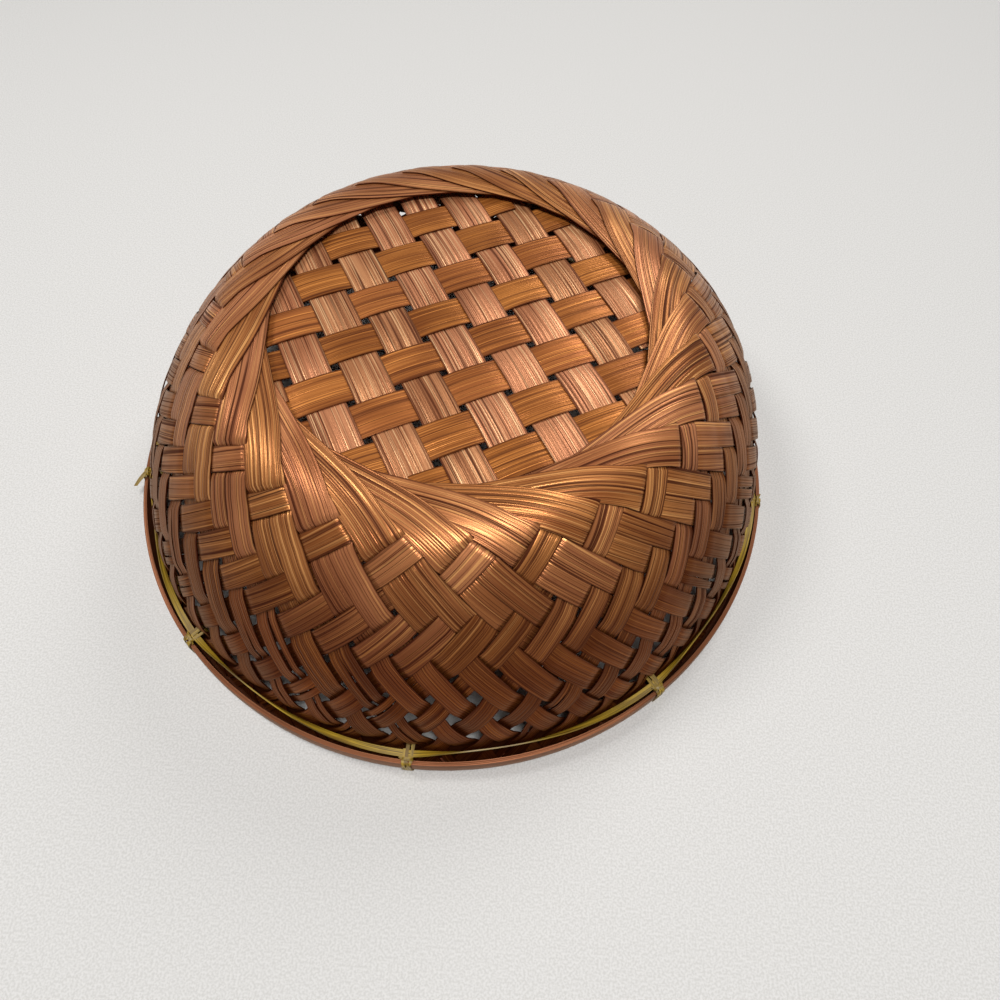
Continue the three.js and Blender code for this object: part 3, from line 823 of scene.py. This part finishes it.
def wall_finger(k, is_inner, part):
    """The shape of one finger from rim to ring and down to the rim again.

    Part is 0 for a whole finger, and -1 or 1 for the strip on either side of its tear.
    """
    wander = wanders[2 * k + is_inner]
    tear = tears[2 * k + is_inner]

    def shape(flat_along, flat_across):
        at_tear = (1 - part * flat_across) / 2
        across = flat_across
        if part:
            across = part - part * (1 - part * tear["place"]) * at_tear
        along = flat_along * reach(k, is_inner, across)
        hand = np.where(along < 0, -1, 1)
        arc0 = np.interp(np.abs(along), path["length"], path["arc"])
        low, high = finger_sides(arc0, k, is_inner)
        opened = tear_open(arc0, hand, along, tear)
        side = low + (high - low) * (across + 1) / 2 + part * at_tear * opened / 2
        on_weave = smoothstep(arc0, cover_arc, cover_arc + 0.01)
        waves = sum(w * np.sin(along * (60 + 55 * i) + 3 * w) for i, w in enumerate(wander))
        loose = wander_at_ring + wander_growth * smoothstep(arc0, cover_arc, wall_length)
        side = side + loose * waves * on_weave

        arc, azimuth = finger_place(arc0, side)
        offset = finger_height(k, is_inner, hand, arc, azimuth)
        offset = offset - cupping * across ** 2 * on_weave + part * torn_step * opened
        at_foot = smoothstep(arc, foot_start, foot_end)
        offset = offset * (1 - foot_flattening * at_foot) + foot_push * at_foot
        offset = offset - rim_pinch * smoothstep(arc, pinch_start, foot_start) * (1 - at_foot)

        points = on_wall(ring_turn + k * splint_pitch + hand * azimuth, arc, offset)
        fibres = np.stack([along, side + k * fibre_spacing], axis=1)
        # painted shade along the sides of an open tear, and along the finger's edges through the edge mark
        torn_edge_shade = at_tear * smoothstep(opened, 0.0, open_width) if part else 0.0
        marks = {
            "tone": np.full(len(along), tones[k]),
            "darker_wood_and_shade": smoothstep(arc, darkening_from, darkening_to),
            "edge": np.maximum(np.abs(across), torn_edge_shade),
        }
        return points, fibres, marks

    return shape


print("wall darkens from", darkening_from * 1000, "to", darkening_to * 1000, "mm below the ring")

# %% [markdown]
# Each splint is joined from its two fingers, or from three or four strips where fingers are torn. A
# strip has many steps along, for smooth bends, and few across, where it is nearly straight. The two
# sides of a tear have the same steps, so they meet vertex by vertex and are welded until it opens.

# %% Wall splints
wall_steps = 300
whole_columns = 5
torn_columns = 3
visual_thickness = 0.00034

wall_splints = []
for k in range(splint_count):
    fingers = []
    for inner in (True, False):
        for part in ((-1, 1) if is_torn[2 * k + inner] else (0,)):
            columns = torn_columns if part else whole_columns
            fingers.append(bend(flat_strip(wall_steps, columns), wall_finger(k, inner, part)))
    piece = to_object(fingers, f"woven_splint_{k + 1:02d}", visual_thickness)
    piece.data.materials.append(wall_finish)
    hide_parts(f"wall_splint_{k + 1:02d}")
    wall_splints.append(piece)
print("wall splints:", len(wall_splints), "with", len(wall_splints[0].data.vertices), "vertices in the first")

# %% [markdown]
# ## The base mat
# The mat is a plain weave on two square axes: each splint goes over one and under one. Its pitch is
# wider than its splints, and that leaves the small square holes. The ends vanish under the ring.
# One square could be made and repeated with an Array. Here every splint is a strip of its own, bent by
# the wall's weave formula in softer waves, because no two should be equally wide, straight or brown.

# %% Sizes of the mat
mat_pitch = 0.0152
mat_width = 0.0126
mat_radius = ring_radius + 0.0032
mat_middle = ring_height - 0.00275
mat_turn = math.radians(28.41)
mat_shift_a = -0.00383
mat_shift_b = 0.01008
mat_height = 0.00040
mat_thickness = 0.00036
mat_sharpness, mat_crown = 2.0, 0.35
mat_cupping = 0.00006
mat_waver = 0.00012              # sideways wander of a splint, and the lift of an edge that curls
axis_a = np.array([math.cos(mat_turn), math.sin(mat_turn)])
axis_b = np.array([math.sin(mat_turn), -math.cos(mat_turn)])


def mat_places(shift):
    most = int(mat_radius / mat_pitch) + 1
    return [k for k in range(-most, most + 1) if abs(k * mat_pitch + shift) + mat_width / 2 < mat_radius]


print("mat splints:", len(mat_places(mat_shift_a)), "and", len(mat_places(mat_shift_b)))


# %% A splint of the mat
def mat_splint(index, shift, crossing_shift, across_axis, along_axis, parity, tone):
    """A splint of the mat: it runs along one axis and dips under every second splint of the other."""
    side = index * mat_pitch + shift
    half_length = math.sqrt(mat_radius ** 2 - (abs(side) + mat_width / 2) ** 2)
    crossings = mat_places(crossing_shift)
    crossings = [crossings[0] - 1, *crossings, crossings[-1] + 1]
    centres = [k * mat_pitch + crossing_shift for k in crossings]
    sides = [1 if (k + index) % 2 == parity else -1 for k in crossings]
    width = mat_width * seed.uniform(0.96, 1.05)
    lean = seed.uniform(-0.006, 0.006)
    wander = [seed.uniform(-1, 1) for _ in range(3)]
    curl = seed.uniform(-0.3, 1.0)

    def shape(flat_along, flat_across):
        along = flat_along * half_length
        waves = sum(w * np.sin(along * (45 + 40 * i) + 5 * w) for i, w in enumerate(wander))
        place = side + flat_across * width / 2 + lean * along + mat_waver * waves
        up = mat_height * weave(along, centres, sides, mat_sharpness, mat_crown)
        lift = mat_waver * curl * flat_across * np.maximum(up, 0) / mat_height
        up = up + lift - mat_cupping * flat_across ** 2
        spot = np.outer(place, across_axis) + np.outer(along, along_axis)
        points = np.column_stack([spot, mat_middle + up])
        fibres = np.stack([along, flat_across * width / 2 + index * fibre_spacing], axis=1)
        # the edge mark gives the mat's splints painted shade along their sides
        marks = {"tone": np.full(len(along), tone), "darker_wood_and_shade": np.zeros(len(along)), "edge": flat_across}
        return points, fibres, marks

    return shape


# %% Base mat
mat_steps, mat_columns = 150, 12
mat_families = {
    "a": (mat_shift_a, mat_shift_b, axis_a, axis_b, 0, rosy_finish, "mat_rosy"),
    "b": (mat_shift_b, mat_shift_a, axis_b, axis_a, 1, golden_finish, "mat_golden"),
}
for family, (shift, other, across_axis, along_axis, parity, finish, slot) in mat_families.items():
    for number, index in enumerate(mat_places(shift), 1):
        shape = mat_splint(index, shift, other, across_axis, along_axis, parity, seed.random())
        strip = bend(flat_strip(mat_steps, mat_columns), shape)
        piece = to_object([strip], f"mat_{family}_{number:02d}", mat_thickness)
        piece.data.materials.append(finish)
        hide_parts(f"mat_splint_{family}_{number:02d}")
    print("mat family", family, "has", number, "splints")

# %% [markdown]
# ## The hoops
# Two hoops of thicker split bamboo hold the wall between them. A ring could be squashed into shape, but
# a small section that is spun round the axis puts each corner where the wall needs it. The outer hoop
# keeps the bamboo's round skin outside, so its outer face is a shallow bow. At their feet the hoops
# nearly meet below the ends of the splints. What lies low in the gap between them is marked as an edge,
# so that the finish paints shade into it.

# %% A spun hoop
hoop_steps = 240
band_top = 0.0017                # thickness of the outer hoop at its top
band_foot = 0.0028               # and at its foot, where it nearly meets the inner hoop
foot_height = 0.0008
foot_slant = 0.0002              # the step above the foot slants by this much
hoop_tone = 0.9
crisp_angle = math.radians(40)


def mark_hoop(hoop, darker_wood_and_shade):
    """Gives a spun hoop its marks and its flat lengths, as on the strips."""
    uv_layer = hoop.loops.layers.uv.new("UVMap")
    tone_layer = hoop.verts.layers.float.new("tone")
    edge_shade_layer = hoop.verts.layers.float.new("edge")
    darker_wood_and_shade_layer = hoop.verts.layers.float.new("darker_wood_and_shade")
    for vertex in hoop.verts:
        # the low gap between the hoops is marked as an edge and gets painted shade
        in_gap = vertex.co.z < hoop_top - foot_height and vertex.co.xy.length < rim_radius - band_top
        vertex[tone_layer] = hoop_tone
        vertex[edge_shade_layer] = float(in_gap)
        vertex[darker_wood_and_shade_layer] = darker_wood_and_shade
    for face in hoop.faces:
        middle = face.calc_center_median()
        start = math.atan2(middle.y, middle.x)
        for loop in face.loops:
            turn = math.atan2(loop.vert.co.y, loop.vert.co.x) - start
            turn = (turn + math.pi) % (2 * math.pi) - math.pi
            loop[uv_layer].uv = ((start + turn) * rim_radius, loop.vert.co.z + loop.vert.co.xy.length)


def spun_hoop(name, section, finish, darker_wood_and_shade):
    """Spins a closed section, given as radius and height, once round the axis."""
    hoop = bmesh.new()
    corners = [hoop.verts.new((radius, 0, height)) for radius, height in section]
    edges = [hoop.edges.new((corners[i], corners[(i + 1) % len(corners)])) for i in range(len(corners))]
    bmesh.ops.spin(
        hoop, geom=corners + edges, cent=(0, 0, 0), axis=(0, 0, 1),
        angle=2 * math.pi, steps=hoop_steps, use_merge=True,
    )
    bmesh.ops.remove_doubles(hoop, verts=hoop.verts, dist=weld_distance)
    bmesh.ops.recalc_face_normals(hoop, faces=hoop.faces)
    mark_hoop(hoop, darker_wood_and_shade)
    mesh = bpy.data.meshes.new(name)
    hoop.to_mesh(mesh)
    hoop.free()
    settle_mesh(mesh)
    mesh.shade_smooth()
    mesh.set_sharp_from_angle(angle=crisp_angle)
    piece = bpy.data.objects.new(name, mesh)
    bpy.context.scene.collection.objects.link(piece)
    piece.data.materials.append(finish)
    return piece


# %% Outer hoop
skin_steps = 6
skin_bow = 0.0004
outer_section = []
for i in range(skin_steps + 1):
    share = i / skin_steps
    bow = skin_bow * math.sin(math.pi * share)
    outer_section.append((rim_radius - skin_bow + bow, hoop_bottom + (hoop_top - hoop_bottom) * share))
outer_section += [
    (rim_radius - band_top, hoop_top),
    (rim_radius - band_top - foot_slant, hoop_bottom + foot_height + foot_slant),
    (rim_radius - band_foot, hoop_bottom + foot_height),
    (rim_radius - band_foot, hoop_bottom),
]

hoop_finish = bamboo("hoop bamboo", paint(146, 96, 62), paint(98, 56, 32), paint(142, 88, 60), 0.3, 0.2, 0.32)
# the outer hoop is darkened by this share: partly darker wood, partly painted shade
outer_hoop = spun_hoop("outer_band", outer_section, hoop_finish, 0.35)
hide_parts("outer_hoop")
print("outer hoop from", round(hoop_bottom * 1000, 2), "to", round(hoop_top * 1000, 2), "mm")

# %% Inner hoop
feet_gap = 0.00002
inner_face = -(weave_height + splint_thickness / 2 + rim_pinch)
inner_thickness = hoop_thickness + seat_gap - rim_pinch
foot_radius = rim_radius - band_foot - feet_gap
inner_section = [
    (foot_radius, hoop_bottom),
    (foot_radius, hoop_bottom + foot_height),
    (wall_radius_at(hoop_bottom + foot_height, inner_face / 2), hoop_bottom + foot_height + foot_slant),
    (wall_radius_at(hoop_top, inner_face), hoop_top),
    (wall_radius_at(hoop_top, inner_face) - inner_thickness, hoop_top),
    (wall_radius_at(hoop_bottom, inner_face) - inner_thickness, hoop_bottom),
]
# the inner hoop is darkened fully: darker wood and painted shade, for it lies in the shadow of the gap
inner_hoop = spun_hoop("inner_band", inner_section, hoop_finish, 1.0)
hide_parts("inner_hoop")
print("inner hoop:", round(inner_thickness * 1000, 2), "mm thick")

# %% [markdown]
# ## The ties
# A narrow cane strip is wound four times round both hoops, through one hole of the weave, and knotted on
# top. A solid band would look like a clip. So the strip follows a squared circle round the hoops while it
# drifts from side to side, and its laps cross each other as they do on the real tie. The cane is olive
# yellow and has no ridges, so it gets a finish of its own, with fine fibres and darker patches.

# %% Cane finish
cane_fibre_pitch = 0.00035
cane_relief = 0.00003


def cane(name):
    finish = Finish(name)
    along, across = finish.strip_place()
    fibre = finish.noise(along * 40.0, across / cane_fibre_pitch, 2.0, 2.0)
    patch = finish.noise(along * 90.0, across * 300.0, 5.0, 1.0)
    colour = finish.mix(paint(94, 72, 10), paint(184, 150, 44), fibre.between(0.3, 0.7))
    colour = finish.mix(colour, paint(104, 72, 20), patch.between(0.52, 0.70) * 0.5)
    return finish.surface({
        "Base Color": colour,
        "Roughness": patch * 0.2 + 0.36,
        "Normal": finish.bump(fibre * cane_relief),
    })


cane_finish = cane("cane strip")
print("nodes in the cane's finish:", len(cane_finish.node_tree.nodes))

# %% Places of the ties
tie_count = 9
first_tie_turn = math.radians(-170.3)
hole_turn = ring_turn + tie_row % 2 * row_turn
tie_turns = []
for number in range(tie_count):
    even_turn = first_tie_turn + 2 * math.pi * number / tie_count
    tie_turns.append(hole_turn + round((even_turn - hole_turn) / finger_pitch) * finger_pitch)
print("ties at", [round(math.degrees(turn)) for turn in tie_turns], "degrees")

# %% Laps of a tie
tie_strand = 0.0010
tie_laps = 4
corner_power = 0.35              # below 1 it squares the round path of a strand
tie_gap = 0.0002                 # room between the hoops and the strand's middle
tie_low = 0.0004                 # height of the strand's middle under the hoops
tie_rise = 0.0008                # and over the hoops' top
lap_drift = 0.6                  # the strand drifts through this share of a wave in each lap
lap_lift = 0.0002                # and rises and sinks by this much
tie_inside = wall_radius_at(hoop_bottom, inner_face - inner_thickness)
tie_lean = tie_inside - (wall_radius_at(hoop_top, inner_face) - inner_thickness)


def squared(wave):
    """A sine or cosine with its crests widened, so that a circle turns into a rounded square."""
    return np.sign(wave) * np.abs(wave) ** corner_power


def wound_tie(turn, draw):
    """A strip wound round both hoops, whose laps cross each other."""
    skew = draw.uniform(0, 2 * math.pi)
    spread = draw.uniform(0.0010, 0.0015)
    inside, outside = tie_inside - tie_gap, rim_radius + tie_gap
    low, high = tie_low, hoop_top + tie_rise
    centre = np.array([(inside + outside) / 2, (low + high) / 2])
    half = np.array([(outside - inside) / 2, (high - low) / 2])
    lap = 4 * (half[0] + half[1])
    radial = np.array([math.cos(turn), math.sin(turn)])
    tangent = np.array([-math.sin(turn), math.cos(turn)])

    def shape(flat_along, flat_across):
        winding = (flat_along + 1) / 2 * tie_laps
        angle = 2 * math.pi * winding + math.pi / 2
        drift = angle * lap_drift + skew
        out = centre[0] + half[0] * squared(np.cos(angle))
        up = centre[1] + half[1] * squared(np.sin(angle))
        lean = np.clip((hoop_top - up) / (hoop_top - hoop_bottom), 0, 1)
        out = out - np.where(np.cos(angle) < 0, tie_lean * (1 - lean), 0)
        aside = spread * np.cos(drift) + flat_across * tie_strand / 2
        up = up + lap_lift * np.sin(drift)
        spot = np.outer(out, radial) + np.outer(aside, tangent)
        fibres = np.stack([winding * lap, flat_across * tie_strand / 2], axis=1)
        return settle(np.column_stack([spot, up])), fibres, {}

    return shape


print("strip in one tie: about", round(tie_laps * 2 * (rim_radius - tie_inside + hoop_top) * 1000), "mm")

# %% [markdown]
# The knot is a loop drawn round the laps, with two free ends. A real knot would be lost at this size, so
# three short strips stand for it. The ends are cut short, except for one at the left, which sticks out
# over the rim like a small flag.

# %% Knot of a tie
knot_wide = 0.0017
knot_high = 0.0008
knot_inset = 0.0018              # inwards from the rim
knot_rise = 0.0013               # over the hoops' top
long_tail = 0.0078               # the end of one strip, left uncut at the first tie
long_tail_width = 0.0024
long_tail_heading = 0.80
long_tail_rise = 0.1
tail_sag = 0.25                  # a free end hangs by this share of its length
tail_taper = 0.5                 # and narrows by this share
tail_lean_out = 0.8


def knot_strip(turn, draw, is_tail, length):
    """A short strip at the knot: a loop drawn round the laps, or a free end that sticks out."""
    radial = np.array([math.cos(turn), math.sin(turn), 0.0])
    tangent = np.array([-math.sin(turn), math.cos(turn), 0.0])
    upward = np.array([0.0, 0.0, 1.0])
    knot = radial * (rim_radius - knot_inset) + upward * (hoop_top + knot_rise)
    heading = draw.uniform(-0.5, 0.5) + (math.pi if draw.random() < 0.5 else 0)
    rise = draw.uniform(-0.2, 0.5)
    twist = draw.uniform(-0.6, 0.6)
    widest = tie_strand
    if length == long_tail:
        heading, rise, widest = long_tail_heading, long_tail_rise, long_tail_width

    def shape(flat_along, flat_across):
        share = (flat_along + 1) / 2
        if is_tail:
            out = math.cos(heading) * tangent + math.sin(heading) * tail_lean_out * radial + rise * upward
            run = np.outer(share * length, out) + np.outer(-tail_sag * length * share ** 2, upward)
            side = np.cos(twist * share)[:, None] * radial + np.sin(twist * share)[:, None] * upward
            width = widest * (1 - tail_taper * share)
        else:
            angle = 2 * math.pi * share
            run = np.outer(knot_wide * np.cos(angle), tangent) + np.outer(knot_high * np.sin(angle), upward)
            side = np.cos(twist) * radial + np.sin(twist) * np.cos(angle)[:, None] * tangent
            width = np.full(len(share), widest)
        points = knot + run + side * (flat_across * width / 2)[:, None]
        fibres = np.stack([share * length, flat_across * tie_strand / 2], axis=1)
        return settle(points), fibres, {}

    return shape


print("long tail:", long_tail * 1000, "mm")

# %% Ties
tie_thickness = 0.0003
tie_steps, loop_steps, tail_steps = 200, 32, 12
loop_length = 0.01
second_tail = 0.0025

tail_lengths = [long_tail, *[seed.uniform(0.002, 0.004) for _ in range(tie_count - 1)]]
for number, turn in enumerate(tie_turns):
    draw = random.Random(number)
    strips = [
        bend(flat_strip(tie_steps, 2), wound_tie(turn, draw)),
        bend(flat_strip(loop_steps, 2), knot_strip(turn, draw, False, loop_length)),
        bend(flat_strip(tail_steps, 2), knot_strip(turn, draw, True, tail_lengths[number])),
        bend(flat_strip(tail_steps, 2), knot_strip(turn, draw, True, second_tail)),
    ]
    piece = to_object(strips, f"cane_tie_{number + 1:02d}", tie_thickness)
    piece.data.materials.append(cane_finish)
    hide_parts(f"rim_tie_{number + 1:02d}")
print("ties:", len(tie_turns))

# %% [markdown]
# ## The lashing
# A longer strip of the same cane runs all round on top of the hoops. Each tie pulls it flat, and between
# two ties it turns up on its edge and leans on the wall. One closed strip whose roll rises and falls
# from tie to tie shows that, where a plain ring would look stiff.

# %% Lashing
lashing_width = 0.0022
lashing_thickness = 0.0004
lashing_steps = 720
lashing_lean = -0.0005           # on edge, its middle leans on the wall this far out
lashing_seat = 0.0007            # under a tie, it lies this far out, over the gap
lashing_lift = 0.0003            # and this much higher, clear of the hoops' top
edge_narrowing = 0.5             # on edge it looks narrower by this share, because it curls
turn_power = 0.6                 # below 1 the strip turns up soon after a tie and comes down slowly
wall_face = wall_radius_at(hoop_top, weave_height + splint_thickness / 2)
tie_order = sorted(tie_turns)
lashing_ends = np.array([tie_order[-1] - 2 * math.pi, *tie_order, tie_order[0] + 2 * math.pi])
lashing_draw = random.Random(5)
edge_shares = np.array([lashing_draw.uniform(0.6, 1.0) for _ in range(tie_count)])


def lashing_shape(flat_along, flat_across):
    turn = flat_along * math.pi
    cell = np.clip(np.searchsorted(lashing_ends, turn) - 1, 0, len(lashing_ends) - 2)
    share = (turn - lashing_ends[cell]) / (lashing_ends[cell + 1] - lashing_ends[cell])
    on_edge = np.sin(math.pi * share ** turn_power) ** 2 * edge_shares[cell % tie_count]
    roll = math.pi / 2 * on_edge
    width = lashing_width * (1 - edge_narrowing * on_edge)
    rise = (width * np.sin(roll) + lashing_thickness * np.cos(roll)) / 2
    height = hoop_top + seat_gap / 2 + lashing_lift * (1 - on_edge) + rise
    across = flat_across * width / 2
    middle = wall_face + lashing_seat + (lashing_lean - lashing_seat) * on_edge
    radius = middle + across * np.cos(roll)
    points = np.column_stack([radius * np.cos(turn), radius * np.sin(turn), height + across * np.sin(roll)])
    fibres = np.stack([turn * wall_face, across], axis=1)
    return settle(points), fibres, {}


lashing = to_object([bend(flat_strip(lashing_steps, 2), lashing_shape)], "cane_lashing", lashing_thickness)
lashing.data.materials.append(cane_finish)
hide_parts("lashing_strip")
print("lashing:", round(2 * math.pi * wall_face, 3), "m")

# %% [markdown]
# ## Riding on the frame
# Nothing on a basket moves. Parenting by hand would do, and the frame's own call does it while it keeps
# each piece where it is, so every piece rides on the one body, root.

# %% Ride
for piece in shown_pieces():
    if "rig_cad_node" not in piece:
        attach(piece, "root")

# %% [markdown]
# ## The floor
# The basket stands on a pale cloth. A floor of a single colour would look like empty space, and a real
# weave of threads would cost millions of faces for something that stays in the background. So the cloth
# is one flat face with a fine grain in its colour.

# %% Floor
floor_size = 3.0
cloth_grain = 1500.0

floor_mesh = bmesh.new()
bmesh.ops.create_grid(floor_mesh, x_segments=1, y_segments=1, size=floor_size / 2)
floor_data = bpy.data.meshes.new("floor")
floor_mesh.to_mesh(floor_data)
floor_mesh.free()
floor = bpy.data.objects.new("floor", floor_data)
bpy.context.scene.collection.objects.link(floor)
cloth = Finish("pale cloth")
spot = cloth.add("ShaderNodeTexCoord", None, None, "Object")
weft = cloth.add("ShaderNodeTexNoise", None, {"Vector": spot, "Scale": cloth_grain, "Detail": 4.0}, "Fac")
cloth_colour = cloth.mix(paint(212, 210, 206), paint(228, 226, 223), weft.between(0.35, 0.65))
floor.data.materials.append(cloth.surface({"Base Color": cloth_colour, "Roughness": 0.9}))
print("floor:", floor_size, "m wide")

# %% [markdown]
# ## The light
# The photograph is taken in a room. One lamp nearly overhead gives the bright patch on the front of the
# ring, a weaker one at the left stands for the window, and a wide one far behind keeps the back from
# going dull. Small area lamps leave clear streaks on the ridges, which one big soft light would blur.

# %% Lamps
def soft_light(name, place, aim, size, power):
    data = bpy.data.lights.new(name, "AREA")
    data.shape = "DISK"
    data.size = size
    data.energy = power
    lamp = bpy.data.objects.new(name, data)
    lamp.location = place
    lamp.rotation_euler = (Vector(aim) - Vector(place)).to_track_quat("-Z", "Y").to_euler()
    bpy.context.scene.collection.objects.link(lamp)
    print("lamp:", name, power, "W")


soft_light("ceiling", (0.15, -0.30, 1.25), (0, 0, 0), 0.30, 10.4)
soft_light("window", (-0.65, 0.15, 1.0), (0, 0, 0.03), 0.35, 4.2)
soft_light("far wall", (0.5, 1.0, 1.0), (0, 0, 0.05), 0.6, 5.5)

# %% [markdown]
# The world is dim, so that the shade inside the weave stays deep. Rays that come from the camera, or by
# way of a shiny or clear surface, see a pale wall in its place.

# %% Room
world = bpy.data.worlds.new("room")
world.use_nodes = True
room = world.node_tree
dim_light = room.nodes["Background"]
dim_light.inputs["Color"].default_value = (0.95, 0.97, 1.0, 1.0)
dim_light.inputs["Strength"].default_value = 0.09
pale_wall = room.nodes.new("ShaderNodeBackground")
pale_wall.inputs["Color"].default_value = paint(176, 177, 179)
ray_kinds = room.nodes.new("ShaderNodeLightPath")
sees_wall = ray_kinds.outputs["Is Camera Ray"]
for ray_kind in ("Is Glossy Ray", "Is Transmission Ray"):
    either_ray = room.nodes.new("ShaderNodeMath")
    either_ray.operation = "MAXIMUM"
    room.links.new(sees_wall, either_ray.inputs[0])
    room.links.new(ray_kinds.outputs[ray_kind], either_ray.inputs[1])
    sees_wall = either_ray.outputs[0]
chosen = room.nodes.new("ShaderNodeMixShader")
room.links.new(sees_wall, chosen.inputs[0])
room.links.new(dim_light.outputs[0], chosen.inputs[1])
room.links.new(pale_wall.outputs[0], chosen.inputs[2])
room.links.new(chosen.outputs[0], room.nodes["World Output"].inputs["Surface"])
bpy.context.scene.world = world
bpy.context.scene.view_settings.view_transform = "Standard"
print("world strength:", round(dim_light.inputs["Strength"].default_value, 2))

# %% [markdown]
# ## The last update
# The view layer is brought up to date once all pieces are in place.

# %% Last update
bpy.context.view_layer.update()
